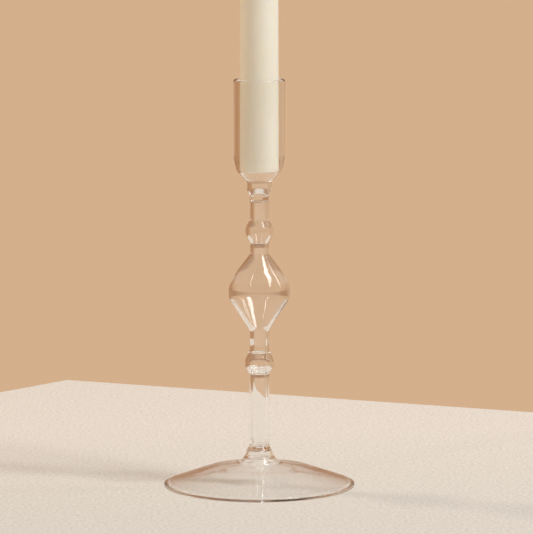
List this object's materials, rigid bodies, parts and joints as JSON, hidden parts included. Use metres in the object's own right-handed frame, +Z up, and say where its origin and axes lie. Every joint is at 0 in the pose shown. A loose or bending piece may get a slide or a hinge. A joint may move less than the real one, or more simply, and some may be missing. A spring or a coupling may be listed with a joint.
{
  "type": "glass candlestick",
  "caption": "Clear flameworked glass candlestick: domed hollow foot, beaded tubular stem, double-cone bulb and straight socket, with a seated ivory dinner candle that lifts out.",
  "frame": {"origin": "centre of the flat ring that the foot stands on, on the candlestick's axis", "axes": "+Z up along the candlestick's axis; +X to the right and -Y towards the viewer"},
  "size_m": [0.1084, 0.1084, 0.3908],
  "materials": {
    "glass": "clear, flame polished",
    "wax": "ivory wax, satin",
    "wick": "braided cotton"
  },
  "bodies": {
    "candlestick": {"foot": "glass", "foot_collar": "glass", "stem_tube": "glass", "lower_bead": "glass", "lower_neck": "glass", "diamond_bulb": "glass", "middle_neck": "glass", "upper_bead": "glass", "upper_neck": "glass", "socket_floor": "glass", "candle_socket": "glass"},
    "candle": {"candle_wax": "wax", "candle_wick": "wick"}
  },
  "joints": [
    {"name": "candle_lift", "type": "slide", "parent": "candlestick", "child": "candle", "axis": [0, 0, 1], "range_m": [0, 0.06]}
  ]
}
